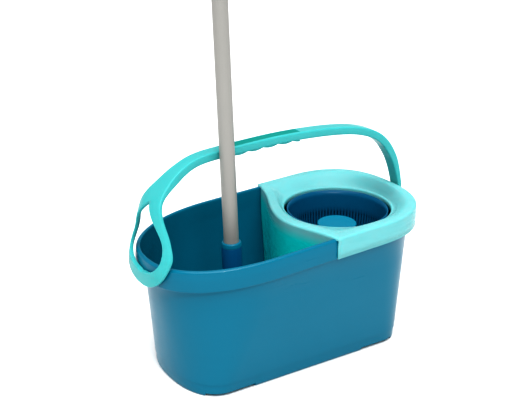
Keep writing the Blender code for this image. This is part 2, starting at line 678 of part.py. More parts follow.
def make_mop_head(stand, plate_axis, materials):
    """Pad, plate and bolt turn together; the fork stays still. Heights are above the bucket's floor."""
    pad_bottom = GAP
    pad_top = pad_bottom + PAD_THICKNESS
    hole = 0.012
    pad = [
        (hole, pad_bottom), (PAD_RADIUS - 0.004, pad_bottom), (PAD_RADIUS - 0.001, pad_bottom + 0.003),
        (PAD_RADIUS, pad_bottom + 0.007), (PAD_RADIUS - 0.001, pad_top - 0.003),
        (PAD_RADIUS - 0.004, pad_top), (hole, pad_top),
    ]
    turned("mop_pad", pad, materials["pad"], plate_axis, 40)

    plate_bottom = pad_top + GAP
    plate_top = plate_bottom + PLATE_THICKNESS
    hub_top = plate_top + 0.010
    plate = [
        (BOLT_RADIUS + GAP, plate_bottom), (PLATE_RADIUS, plate_bottom), (PLATE_RADIUS, plate_top + 0.001),
        (PLATE_RADIUS - 0.003, plate_top + 0.001), (PLATE_RADIUS - 0.004, plate_top),
        (PLATE_HUB_RADIUS + 0.010, plate_top), (PLATE_HUB_RADIUS, plate_top + 0.003),
        (PLATE_HUB_RADIUS - 0.001, hub_top), (BOLT_RADIUS + GAP, hub_top),
    ]
    turned("mop_plate", plate, materials["bucket"], plate_axis, 40)

    fork_bottom = hub_top + GAP
    fork_floor = fork_bottom + 0.008
    bolt_top = fork_floor - 0.0015
    bolt = [
        (0, plate_bottom - GAP - 0.0035), (0.0075, plate_bottom - GAP - 0.0035),
        (0.0085, plate_bottom - GAP), (BOLT_RADIUS, plate_bottom - GAP), (BOLT_RADIUS, bolt_top),
        (0, bolt_top),
    ]
    turned("plate_bolt", bolt, materials["steel"], plate_axis, 24)

    ear_inner = TONGUE_HALF_WIDTH + GAP
    ear_outer = ear_inner + EAR_THICKNESS
    foot = [
        (BOLT_RADIUS + GAP, fork_bottom), (0.0155, fork_bottom), (0.0155, fork_floor),
        (0, fork_floor), (0, bolt_top + GAP), (BOLT_RADIUS + GAP, bolt_top + GAP),
    ]
    fork = turned("fork", foot, materials["collar"], stand, 32)
    for side, name in ((-1, "near_ear"), (1, "far_ear")):
        ear = make_ear(EAR_RADIUS, fork_floor - 0.002, side * ear_inner, side * ear_outer)
        boolean(fork, cutter(name, ear, stand), "UNION")
    pin_length = 2 * ear_outer + 0.004
    bore = spin_profile(rod(FORK_PIN_RADIUS + GAP, 0, 2 * pin_length), 24)
    hole = along_y(bore, (0, -pin_length, FORK_PIN_HEIGHT))
    boolean(fork, cutter("fork_pin_hole", hole, stand), "DIFFERENCE")
    head = 0.0018
    wide = FORK_PIN_RADIUS + 0.002
    pin = [
        (0, -ear_outer - GAP - head), (wide, -ear_outer - GAP - head), (wide, -ear_outer - GAP),
        (FORK_PIN_RADIUS, -ear_outer - GAP), (FORK_PIN_RADIUS, ear_outer + GAP), (wide, ear_outer + GAP),
        (wide, ear_outer + GAP + head), (0, ear_outer + GAP + head),
    ]
    place("fork_pin", along_y(spin_profile(pin, 24), (0, 0, FORK_PIN_HEIGHT)), materials["steel"], stand)


def make_ear(radius, bottom, inner, outer):
    """A fork's ear: a plate in the XZ plane with a round top about the pin."""
    steps = 12
    arc = [
        (radius * math.cos(k / steps * math.pi), FORK_PIN_HEIGHT + radius * math.sin(k / steps * math.pi))
        for k in range(steps + 1)
    ]
    points = [(radius, bottom), *arc, (-radius, bottom)]
    return loft([[(x, y, z) for x, z in points] for y in (inner, outer)])


# ---------------------------------------------------------------- mop handle

def make_collar(axis, materials):
    """The joint collar: a tongue on the fork pin below, and a deep socket for the lower tube above."""
    bore = LOWER_TUBE_RADIUS + GAP
    body = [
        (0, COLLAR_BOTTOM - 0.010), (0.008, COLLAR_BOTTOM - 0.010), (0.0115, COLLAR_BOTTOM),
        (COLLAR_RADIUS, COLLAR_BOTTOM + 0.016), (COLLAR_RADIUS, COLLAR_TOP),
        (bore, COLLAR_TOP), (bore, SOCKET_BOTTOM - 0.030),
        (JOURNAL_RADIUS + GAP, SOCKET_BOTTOM - 0.030), (JOURNAL_RADIUS + GAP, SOCKET_BOTTOM - 0.050),
        (0, SOCKET_BOTTOM - 0.050),
    ]
    collar = turned("joint_collar", body, materials["collar"], axis, 32)
    steps = 12
    arc = [
        (EAR_RADIUS * math.cos(k / steps * math.pi), -EAR_RADIUS * math.sin(k / steps * math.pi))
        for k in range(steps + 1)
    ]
    points = [(EAR_RADIUS, COLLAR_BOTTOM - 0.004), *arc, (-EAR_RADIUS, COLLAR_BOTTOM - 0.004)]
    tongue = loft([[(x, y, z) for x, z in points] for y in (-TONGUE_HALF_WIDTH, TONGUE_HALF_WIDTH)])
    boolean(collar, cutter("tongue", tongue, axis), "UNION")
    hole = along_y(spin_profile(rod(FORK_PIN_RADIUS + GAP, 0, 0.06), 24), (0, -0.03, 0))
    boolean(collar, cutter("tongue_hole", hole, axis), "DIFFERENCE")

    ring_bottom = COLLAR_TOP + GAP
    ring = [
        (bore, ring_bottom), (COLLAR_RADIUS, ring_bottom), (COLLAR_RADIUS - 0.0006, ring_bottom + 0.003),
        (COLLAR_RADIUS - 0.002, ring_bottom + COLLAR_RING_HEIGHT), (bore, ring_bottom + COLLAR_RING_HEIGHT),
    ]
    turned("collar_ring", ring, materials["bucket"], axis, 40)


def make_spindle(axis, turning, materials):
    """The twisted square spindle and the bearing that carries its foot inside the collar."""
    bearing_bottom = SOCKET_BOTTOM - 0.030 + GAP
    bearing_top = bearing_bottom + 0.012
    bearing = sleeve(JOURNAL_RADIUS + GAP, LOWER_TUBE_RADIUS, bearing_bottom, bearing_top)
    turned("spindle_bearing", bearing, materials["steel"], axis, 28)

    foot = SOCKET_BOTTOM - 0.050 + GAP
    start = bearing_top + 0.004
    count = math.ceil((SPINDLE_TOP - start) / SPINDLE_LEAD * 2 * math.pi / SPINDLE_STEP)
    rings = []
    journal = JOURNAL_RADIUS / (SPINDLE_HALF_SIDE * math.sqrt(2))
    for height, scale in ((foot, journal), (bearing_top + 0.001, journal), (bearing_top + 0.002, 1.0)):
        rings.append((height, scale, 0.0))
    for k in range(count + 1):
        height = start + (SPINDLE_TOP - start) * k / count
        rings.append((height, 1.0, (height - start) / SPINDLE_LEAD * 2 * math.pi))
    square = [(-1, -1), (1, -1), (1, 1), (-1, 1)]
    layers = []
    for height, scale, angle in rings:
        side = SPINDLE_HALF_SIDE * scale
        turn = Matrix.Rotation(angle, 2)
        corners = [turn @ Vector((x * side, y * side)) for x, y in square]
        layers.append([(c.x, c.y, height) for c in corners])
    place("drive_spindle", loft(layers), materials["steel"], turning, 60)


def make_tubes(axis, slider, locker, materials):
    """Lower tube with its clamp sleeve, and the upper tube that slides in it with nut, grip and cap."""
    lower_bottom = SOCKET_BOTTOM
    inner = LOWER_TUBE_RADIUS - TUBE_WALL
    turned("lower_tube", sleeve(inner, LOWER_TUBE_RADIUS, lower_bottom, LOWER_TUBE_TOP),
           materials["tube"], axis, 32)

    outer = LOWER_TUBE_RADIUS + GAP
    mouth = LOWER_TUBE_TOP + GAP
    sleeve_top = LOWER_TUBE_TOP + 0.028
    clamp = [
        (outer, SLEEVE_BOTTOM), (outer + SLEEVE_WALL - 0.0005, SLEEVE_BOTTOM),
        (outer + SLEEVE_WALL, SLEEVE_BOTTOM + 0.004), (outer + SLEEVE_WALL, sleeve_top),
        (UPPER_TUBE_RADIUS + GAP, sleeve_top),
        (UPPER_TUBE_RADIUS + GAP, mouth), (outer, mouth),
    ]
    turned("clamp_sleeve", clamp, materials["collar"], axis, 32)

    ring_inner = outer + SLEEVE_WALL + GAP
    ring_bottom = sleeve_top - LOCK_RING_HEIGHT + 0.006
    ring_top = ring_bottom + LOCK_RING_HEIGHT
    ring = [
        (ring_inner, ring_bottom), (LOCK_RING_RADIUS - 0.002, ring_bottom),
        (LOCK_RING_RADIUS, ring_bottom + 0.004), (LOCK_RING_RADIUS - 0.0012, ring_top - 0.006),
        (LOCK_RING_RADIUS - 0.003, ring_top), (UPPER_TUBE_RADIUS + GAP, ring_top),
        (UPPER_TUBE_RADIUS + GAP, sleeve_top + GAP), (ring_inner, sleeve_top + GAP),
    ]
    turned("lock_ring", ring, materials["handle"], locker, 28)

    turned("upper_tube",
           sleeve(UPPER_TUBE_RADIUS - TUBE_WALL, UPPER_TUBE_RADIUS, UPPER_TUBE_BOTTOM, UPPER_TUBE_TOP),
           materials["tube"], slider, 32)
    nut_bore = SPINDLE_HALF_SIDE * math.sqrt(2) + GAP
    nut_top = UPPER_TUBE_BOTTOM + NUT_HEIGHT
    nut = [
        (nut_bore, UPPER_TUBE_BOTTOM - GAP - 0.003), (UPPER_TUBE_RADIUS, UPPER_TUBE_BOTTOM - GAP - 0.003),
        (UPPER_TUBE_RADIUS, UPPER_TUBE_BOTTOM - GAP), (UPPER_TUBE_RADIUS - TUBE_WALL - GAP, UPPER_TUBE_BOTTOM - GAP),
        (UPPER_TUBE_RADIUS - TUBE_WALL - GAP, nut_top), (nut_bore, nut_top),
    ]
    turned("drive_nut", nut, materials["collar"], slider, 28)

    grip_bottom = UPPER_TUBE_TOP - GRIP_LENGTH
    grip_bore = UPPER_TUBE_RADIUS + GAP
    grip = [(grip_bore, grip_bottom), (grip_bore + 0.0015, grip_bottom), (GRIP_RADIUS, grip_bottom + 0.006)]
    for k in range(1, 6):
        share = k / 6
        grip.append((GRIP_RADIUS - 0.0012 * math.sin(share * math.pi), grip_bottom + 0.006 + 0.104 * share))
    grip += [(GRIP_RADIUS, UPPER_TUBE_TOP - 0.004), (GRIP_RADIUS, UPPER_TUBE_TOP), (grip_bore, UPPER_TUBE_TOP)]
    turned("hand_grip", grip, materials["handle"], slider, 28)

    spigot = UPPER_TUBE_RADIUS - TUBE_WALL - GAP
    seat = UPPER_TUBE_TOP + GAP
    cap = [
        (0, seat - 0.018), (spigot, seat - 0.018), (spigot, seat), (GRIP_RADIUS - 0.0005, seat),
        (GRIP_RADIUS - 0.0005, seat + 0.004), (GRIP_RADIUS - 0.002, seat + CAP_HEIGHT * 0.55),
        (GRIP_RADIUS - 0.007, seat + CAP_HEIGHT * 0.9), (0, seat + CAP_HEIGHT),
    ]
    cap_piece = turned("end_cap", cap, materials["collar"], slider, 32)
    eye = along_y(spin_profile(rod(0.0065, 0, 0.06), 24), (0, -0.03, seat + CAP_HEIGHT * 0.46))
    boolean(cap_piece, cutter("hanging_eye", eye, slider), "DIFFERENCE")


# ---------------------------------------------------------------- assembly

def main():
    for obj in list(bpy.data.objects):
        bpy.data.objects.remove(obj, do_unlink=True)

    materials = {
        "bucket": plastic("bucket_blue", srgb(0, 118, 158), 0.32),
        "handle": plastic("turquoise", srgb(100, 215, 210), 0.35),
        "inlay": plastic("dark_turquoise", srgb(0, 155, 145), 0.55),
        "basket": plastic("basket_blue", srgb(0, 82, 122), 0.35),
        "hub": plastic("hub_blue", srgb(0, 140, 182), 0.35),
        "collar": plastic("collar_blue", srgb(0, 82, 135), 0.35),
        "tube": plastic("grey_tube", srgb(178, 176, 170), 0.38, 0.2),
        "steel": plastic("steel", srgb(190, 192, 195), 0.25, 1.0),
        "pad": plastic("white_pad", srgb(235, 238, 238), 0.9),
    }
    root = empty("object_centre", (CENTRE_SHIFT, 0, 0))
    bail_axis = empty("bail_axis", (0, 0, PIVOT_HEIGHT), root)
    basket_axis = empty("basket_axis", (BASKET_X, 0, BASKET_BOTTOM), root)
    mop_stand = empty("mop_stand", (MOP_X, MOP_Y, FLOOR), root)
    plate_axis = empty("plate_axis", (0, 0, 0), mop_stand)
    handle_axis = empty("handle_axis", (0, 0, FORK_PIN_HEIGHT), mop_stand, (0, HANDLE_LEAN, 0))
    spindle_axis = empty("spindle_axis", (0, 0, 0), handle_axis)
    lock_axis = empty("lock_axis", (0, 0, 0), handle_axis)
    slide_axis = empty("slide_axis", (0, 0, 0), handle_axis)

    make_bucket(root, materials["bucket"])
    make_insert(root, materials["handle"])
    make_basket(basket_axis, root, materials)
    make_bail(bail_axis, materials)
    make_mop_head(mop_stand, plate_axis, materials)
    make_collar(handle_axis, materials)
    make_spindle(handle_axis, spindle_axis, materials)
    make_tubes(handle_axis, slide_axis, lock_axis, materials)


main()
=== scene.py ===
"""Spin mop set: the looks of an oval bucket, its wringer basket and a disc mop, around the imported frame."""
import math
import random

import bmesh
import bpy
from mathutils import Matrix, Vector


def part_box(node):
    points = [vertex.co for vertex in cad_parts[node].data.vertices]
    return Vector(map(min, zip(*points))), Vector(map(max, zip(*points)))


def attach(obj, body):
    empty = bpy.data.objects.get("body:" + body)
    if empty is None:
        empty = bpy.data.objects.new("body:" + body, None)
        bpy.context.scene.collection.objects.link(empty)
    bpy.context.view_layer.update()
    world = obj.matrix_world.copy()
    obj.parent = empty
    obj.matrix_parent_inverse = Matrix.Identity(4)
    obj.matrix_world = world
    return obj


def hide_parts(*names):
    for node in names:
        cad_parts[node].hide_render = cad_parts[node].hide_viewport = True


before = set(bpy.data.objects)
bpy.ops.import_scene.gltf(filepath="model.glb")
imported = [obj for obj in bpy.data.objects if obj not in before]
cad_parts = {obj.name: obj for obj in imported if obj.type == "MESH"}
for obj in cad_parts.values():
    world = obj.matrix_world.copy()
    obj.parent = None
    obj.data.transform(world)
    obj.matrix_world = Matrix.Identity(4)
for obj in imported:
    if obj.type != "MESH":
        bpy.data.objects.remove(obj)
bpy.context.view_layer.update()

# Camera, floor and light. The camera looks down on the pouring end from the near side, a long lens
# about two metres away. A wide, soft sun lights the pale floor evenly from above, and a narrow strip
# box in front draws the streaks on the glossy plastic.
AZIMUTH, ELEVATION = math.radians(-32.3), math.radians(21.5)
right = Vector((math.cos(AZIMUTH), math.sin(AZIMUTH), 0))
back = Vector((
    math.sin(AZIMUTH) * math.cos(ELEVATION), -math.cos(AZIMUTH) * math.cos(ELEVATION), math.sin(ELEVATION),
))
up = back.cross(right)
camera = bpy.data.objects.new("camera", bpy.data.cameras.new("camera"))
camera.data.lens, camera.data.sensor_width = 70.64, 36
turn = Matrix((right, up, back)).transposed().to_4x4()
camera.matrix_world = Matrix.Translation((-0.88265, -1.3295, 0.9015)) @ turn
bpy.context.scene.collection.objects.link(camera)
bpy.context.scene.camera = camera

floor_mesh = bpy.data.meshes.new("floor")
floor_mesh.from_pydata([(-8, -8, 0), (8, -8, 0), (8, 8, 0), (-8, 8, 0)], [], [(0, 1, 2, 3)])
floor = bpy.data.objects.new("floor", floor_mesh)
bpy.context.scene.collection.objects.link(floor)
paper = bpy.data.materials.new("floor_paper")
paper.use_nodes = True
paper.node_tree.nodes["Principled BSDF"].inputs["Base Color"].default_value = (0.86, 0.86, 0.86, 1)
paper.node_tree.nodes["Principled BSDF"].inputs["Roughness"].default_value = 0.9
floor.data.materials.append(paper)


def soft_light(name, kind, energy, place, aim, **settings):
    lamp = bpy.data.objects.new(name, bpy.data.lights.new(name, kind))
    lamp.data.energy = energy
    for key, value in settings.items():
        setattr(lamp.data, key, value)
    lamp.location = place
    lamp.rotation_euler = (Vector(aim) - Vector(place)).to_track_quat("-Z", "Y").to_euler()
    bpy.context.scene.collection.objects.link(lamp)


soft_light("top_sun", "SUN", 2.9, (-0.5, -0.8, 3.0), (0, 0, 0), angle=1.1)
soft_light(
    "strip_box", "AREA", 15.0, (-0.7, -1.7, 1.9), (0, 0, 0.2), shape="RECTANGLE", size=0.7, size_y=0.05,
)
world = bpy.data.worlds.new("studio")
world.use_nodes = True
world.node_tree.nodes["Background"].inputs["Color"].default_value = (1, 1, 1, 1)
world.node_tree.nodes["Background"].inputs["Strength"].default_value = 0.42
bpy.context.scene.world = world
bpy.context.scene.view_settings.view_transform = "Standard"
bpy.context.scene.view_settings.look = "High Contrast"

# Bucket: one petrol blue polypropylene moulding, with a rolled rim that rises to the wringer end,
# a skirt under the rim, a faint step low on the wall, and three foot pads under the floor.
bucket_low, bucket_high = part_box("bucket_body")
BUCKET_X = (bucket_low.x + bucket_high.x) / 2 - 0.003
RIM = (-0.247, 0.253, 0.1385, 0.185, 0.130)  # left end, right end, half width, left bow, right bow
WALL_TOP = (-0.2315, 0.2385, 0.1315, 0.165, 0.115)
BASE = (-0.211, 0.221, 0.103, 0.060, 0.056)
SKIRT_HEIGHT = 0.035
WALL = 0.003
FLOOR = 0.0085
STEP_HEIGHT = 0.022
PIVOT_HEIGHT = 0.1995
GAP = 0.0003  # between pieces that sit against each other


class Wire:
    """A node's output. Numbers and wires mix in sums, which add their Math nodes to the tree."""

    def __init__(self, tree, output=None):
        self.tree, self.output = tree, output

    def node(self, kind, inputs=(), output=0, **settings):
        made = self.tree.nodes.new("ShaderNode" + kind)
        for key, value in settings.items():
            setattr(made, key, value)
        for key, value in dict(inputs).items():
            if isinstance(value, Wire):
                self.tree.links.new(value.output, made.inputs[key])
            else:
                made.inputs[key].default_value = value
        return Wire(self.tree, made.outputs[output])

    def sum(self, operation, first, second):
        return self.node("Math", {0: first, 1: second}, operation=operation)

    def __add__(self, other):
        return self.sum("ADD", self, other)

    __radd__ = __add__

    def __sub__(self, other):
        return self.sum("SUBTRACT", self, other)

    def __rsub__(self, other):
        return self.sum("SUBTRACT", other, self)

    def __mul__(self, other):
        return self.sum("MULTIPLY", self, other)

    __rmul__ = __mul__

    def __gt__(self, other):
        return self.sum("GREATER_THAN", self, other)

    def mix(self, low, high):
        """A colour that goes from low to high as this wire goes from 0 to 1."""
        return self.node("Mix", {0: self, 6: low, 7: high}, output=2, data_type="RGBA")


def shade(red, green, blue):
    """A linear colour from screen levels."""
    levels = (red, green, blue)
    return tuple(((c / 255 + 0.055) / 1.055) ** 2.4 if c > 10 else c / 3295 for c in levels) + (1.0,)


def tinted(colour, factor):
    return tuple(min(c * factor, 1.0) for c in colour[:3]) + (1.0,)


def plastic(
    slot, colour, roughness, drift=0.05, pebble=0.00006, pebble_size=0.0007, coat=0.02, glow=0.0, painted_glow=None,
):
    """Moulded plastic: a colour that drifts a little, a fine pebbled skin, and a gloss dulled by handling.

    The painted glow argument is a second colour, painted to stand for light through thin plastic, and the
    mask, made from the place, of where it shows.
    """
    material = bpy.data.materials.new(slot + "_plastic")
    material.use_nodes, material["slot"] = True, slot
    shader = material.node_tree.nodes["Principled BSDF"]
    start = Wire(material.node_tree)
    place = start.node("TexCoord", output=3)
    clouds = start.node("TexNoise", {"Vector": place, "Scale": 9.0, "Detail": 4.0})
    flow = start.node("Mapping", {"Vector": place, "Scale": (3.0, 3.0, 22.0)})
    streaks = start.node("TexNoise", {"Vector": flow, "Scale": 3.0, "Detail": 5.0})
    skin = start.node("TexNoise", {"Vector": place, "Scale": 1 / pebble_size, "Detail": 2.0})
    tint = (clouds * 0.7 + streaks * 0.3).mix(tinted(colour, 1 - drift), tinted(colour, 1 + drift))
    # Painted glow: a deeper colour painted over the tint where the mask is on, for light through thin
    # plastic.
    if painted_glow:
        painted_glow_colour, mask = painted_glow
        tint = mask(place).mix(tint, painted_glow_colour)
    feed = material.node_tree.links.new
    feed(tint.output, shader.inputs["Base Color"])
    feed((roughness + (streaks - 0.5) * 0.12 + (skin - 0.5) * 0.05).output, shader.inputs["Roughness"])
    bump = start.node("Bump", {"Height": skin + clouds * 0.4, "Strength": 0.5, "Distance": pebble})
    feed(bump.output, shader.inputs["Normal"])
    shader.inputs["Coat Weight"].default_value = coat
    shader.inputs["Coat Roughness"].default_value = 0.12
    shader.inputs["Specular IOR Level"].default_value = 0.14
    shader.inputs["Subsurface Weight"].default_value = glow
    shader.inputs["Subsurface Radius"].default_value = (0.15, 1.0, 1.0)
    shader.inputs["Subsurface Scale"].default_value = 0.006
    return material


bucket_blue = plastic("bucket_blue", shade(0, 105, 130), 0.3, coat=0.16)


def solid(name, bm, material, body, *nodes, sharp=42):
    """Closes a bmesh into a named piece on its body, in place of CAD nodes."""
    bmesh.ops.remove_doubles(bm, verts=bm.verts, dist=2e-6)
    bmesh.ops.recalc_face_normals(bm, faces=bm.faces)
    mesh = bpy.data.meshes.new(name)
    bm.to_mesh(mesh)
    bm.free()
    mesh.shade_smooth()
    mesh.set_sharp_from_angle(angle=math.radians(sharp))
    piece = bpy.data.objects.new(name, mesh)
    bpy.context.scene.collection.objects.link(piece)
    if material:
        mesh.materials.append(material)
        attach(piece, body)
    if nodes:
        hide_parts(*nodes)
    return piece


def carve(piece, bm, operation="DIFFERENCE"):
    """Cuts a closed shape from a piece, or joins it on, for good."""
    tool = solid("tool", bm, None, None)
    modifier = piece.modifiers.new(operation.title(), "BOOLEAN")
    modifier.operation, modifier.object, modifier.solver = operation, tool, "EXACT"
    bpy.context.view_layer.update()
    graph = bpy.context.evaluated_depsgraph_get()
    mesh = bpy.data.meshes.new_from_object(piece.evaluated_get(graph))
    piece.modifiers.clear()
    mesh.name = piece.name
    mesh.set_sharp_from_angle(angle=math.radians(42))
    piece.data = mesh
    bpy.data.objects.remove(tool, do_unlink=True)


def oval(shape, inset=0.0, steps=44):
    """An outline with straight sides and superellipse ends, from the near right corner, turning left."""
    left, right_end, half, left_bow, right_bow = shape
    left, right_end, half = left + inset, right_end - inset, half - inset
    points = []
    ends = ((right_end, right_bow - inset, 1, 2.5), (left, left_bow - inset, -1, 2.25))
    for end, bow, side, power in ends:
        for k in range(-steps, steps + 1):
            angle = k / steps * math.pi / 2
            reach = abs(math.cos(angle)) ** (2 / power)
            across = math.copysign(abs(math.sin(angle)) ** (2 / power), angle)
            points.append((end - side * bow * (1 - reach), side * half * across))
    return points


def rim_height(x):
    dip = 0.0075 * min(x / RIM[0], 1.0) ** 2 if x < 0 else 0.0
    return 0.2455 + 0.046 * x - dip


def rim_ring(shape, inset, drop):
    return [(BUCKET_X + x, y, rim_height(x) - drop) for x, y in oval(shape, inset)]


def wall_ring(height, inset=0.0):
    ring = []
    for (x0, y0), (x1, y1) in zip(oval(BASE, inset), oval(WALL_TOP, inset)):
        share = height / (rim_height(x1) - SKIRT_HEIGHT)
        ring.append((BUCKET_X + x0 + (x1 - x0) * share, y0 + (y1 - y0) * share, height))
    return ring


def corner(radius, steps=5):
    """(inset, drop) pairs round a convex quarter circle, from the side up to the top."""
    angles = [k / steps * math.pi / 2 for k in range(steps + 1)]
    return [(radius * (1 - math.cos(a)), radius * (1 - math.sin(a))) for a in angles]


def loft(rings):
    bm = bmesh.new()
    layers = [[bm.verts.new(point) for point in ring] for ring in rings]
    count = len(layers[0])
    for low, high in zip(layers, layers[1:]):
        for i in range(count):
            j = (i + 1) % count
            bm.faces.new((low[i], low[j], high[j], high[i]))
    bm.faces.new(list(reversed(layers[0])))
    bm.faces.new(layers[-1])
    return bm


rings = [wall_ring(drop, inset) for inset, drop in reversed(corner(0.0045))]
rings += [wall_ring(0.013), wall_ring(STEP_HEIGHT - 0.004)]
rings += [wall_ring(STEP_HEIGHT), wall_ring(STEP_HEIGHT + 0.0002, -0.001)]
rings += [wall_ring(height, -0.001) for height in (0.05, 0.08, 0.11, 0.14)]
rings += [wall_ring(0.165, -0.0006), rim_ring(WALL_TOP, 0.0, SKIRT_HEIGHT + 0.0015)]
rings += [rim_ring(WALL_TOP, -0.0008, SKIRT_HEIGHT - 0.0002)]
for inset, drop in reversed(corner(0.0014)):
    rings.append(rim_ring(RIM, inset + 0.0002, SKIRT_HEIGHT - 0.0004 - drop))
rings += [rim_ring(RIM, 0.0001, 0.022), rim_ring(RIM, 0.0, 0.0175), rim_ring(RIM, 0.0002, 0.0135)]
rings += [rim_ring(RIM, 0.0006, 0.0100), rim_ring(RIM, 0.0010, 0.0075)]
rings += [rim_ring(RIM, 0.0014 + inset, drop) for inset, drop in corner(0.0042, 8)]
rings += [rim_ring(RIM, 0.0070, 0.0), rim_ring(RIM, 0.0078, 0.0003), rim_ring(RIM, 0.0085, 0.0011)]
rings += [rim_ring(RIM, 0.0089, 0.0022), rim_ring(RIM, 0.0091, 0.0045)]
rings += [rim_ring(WALL_TOP, WALL, SKIRT_HEIGHT - 0.004), rim_ring(WALL_TOP, WALL, SKIRT_HEIGHT + 0.001)]
rings += [wall_ring(height, WALL) for height in (0.16, 0.12, 0.08, 0.05, FLOOR + 0.012)]
rings += [wall_ring(FLOOR + drop, WALL + inset) for inset, drop in corner(0.006)]
bucket = solid("bucket", loft(rings), bucket_blue, "root", "bucket_body")


def block(low, high):
    bm = bmesh.new()
    size, middle = Vector(high) - Vector(low), (Vector(high) + Vector(low)) / 2
    bmesh.ops.create_cube(bm, size=1.0, matrix=Matrix.Translation(middle) @ Matrix.Diagonal((*size, 1.0)))
    return bm


def lathe(profile, steps=96, origin=(0, 0, 0), lay=None):
    """Turns (radius, height) points about Z, then lays the axis over and moves it to the origin."""
    bm = bmesh.new()
    verts = [bm.verts.new((radius, 0, height)) for radius, height in profile]
    edges = [bm.edges.new(pair) for pair in zip(verts, verts[1:])]
    if profile[0][0] > 0 or profile[-1][0] > 0:
        edges.append(bm.edges.new((verts[-1], verts[0])))
    bmesh.ops.spin(
        bm, geom=verts + edges, cent=(0, 0, 0), axis=(0, 0, 1), angle=2 * math.pi, steps=steps,
        use_merge=True,
    )
    bmesh.ops.transform(bm, matrix=Matrix.Translation(origin) @ (lay or Matrix()), verts=bm.verts)
    return bm


ALONG_X = Matrix.Rotation(math.pi / 2, 4, "Y")
ALONG_Y = Matrix.Rotation(-math.pi / 2, 4, "X")


def rod(radius, start, end):
    return [(0, start), (radius, start), (radius, end), (0, end)]


recess = [[(BUCKET_X + x, y, z) for x, y in oval(BASE, 0.016)] for z in (-0.01, 0.006)]
carve(bucket, loft(recess))
for start, end in ((-0.188, -0.102), (0.118, 0.188)):
    carve(bucket, block((BUCKET_X + start, -0.2, -0.01), (BUCKET_X + end, 0.2, 0.006)))
for start, end in ((-0.267, -0.2115), (0.215, 0.249)):
    hole = lathe(rod(0.0108, 0, end - start), 48, (BUCKET_X + start, 0, PIVOT_HEIGHT), ALONG_X)
    carve(bucket, hole)

# Push-on insert: one light turquoise sheet, the dished deck round the basket opening, the skirt that
# grips the rim, and the S-shaped divider wall that hangs into the bucket. Below the deck the divider
# wall is painted a deeper turquoise, a painted glow that stands for light through the thin wall.
PAINTED_GLOW_START, PAINTED_GLOW_FULL = 0.240, 0.222  # heights between which the painted glow deepens the wall's colour
PAINTED_GLOW_HALF_WIDTH, PAINTED_GLOW_RIGHT = 0.1335, 0.07  # the skirt lies outside these, and keeps the deck's colour without the painted glow


# Mask of the painted glow: full on the divider wall below the deck, fading in just under it, off on the
# skirt.
def painted_glow_on_divider(place):
    x, y, height = (place.node("SeparateXYZ", {"Vector": place}, output=k) for k in range(3))
    fall = place.node("MapRange", {0: height, 1: PAINTED_GLOW_START, 2: PAINTED_GLOW_FULL})
    skirt = place.node("Math", {0: y}, operation="ABSOLUTE") > PAINTED_GLOW_HALF_WIDTH
    return fall * (1 - skirt) * (1 - (x > PAINTED_GLOW_RIGHT))


# The sheet's base colour is partly its own light turquoise and partly a painted sheen: extra red for the
# light from above on the deck, paler than the bail's same plastic.
turquoise = plastic(
    "turquoise", shade(112, 180, 183), 0.28, drift=0.035, glow=0.6, painted_glow=(shade(0, 204, 202), painted_glow_on_divider),
)
INSERT_WALL = 0.0025
BASKET_X = 0.134
OPENING_RADIUS = 0.0945
OPENING_HEIGHT = 0.2375
DIVIDER_HALF_WIDTH = 0.1275
DIVIDER = (  # (distance from the basket's axis in x, share of the clear half width in y)
    (0.080, 1.0), (0.087, 0.824), (0.098, 0.612), (0.114, 0.353), (0.126, 0.110),
    (0.132, -0.118), (0.131, -0.329), (0.124, -0.533), (0.115, -0.745), (0.106, -1.0),
)


def through(points, steps):
    """A smooth curve through the points, with the same number of steps between each two."""
    points = [Vector(p) for p in points]
    padded = [2 * points[0] - points[1], *points, 2 * points[-1] - points[-2]]
    curve = []
    for a, b, c, d in zip(padded, padded[1:], padded[2:], padded[3:]):
        for k in range(steps):
            t = k / steps
            bend = (2 * a - 5 * b + 4 * c - d) + t * (3 * (b - c) + d - a)
            curve.append(b + 0.5 * t * ((c - a) + t * bend))
    return curve + [points[-1]]


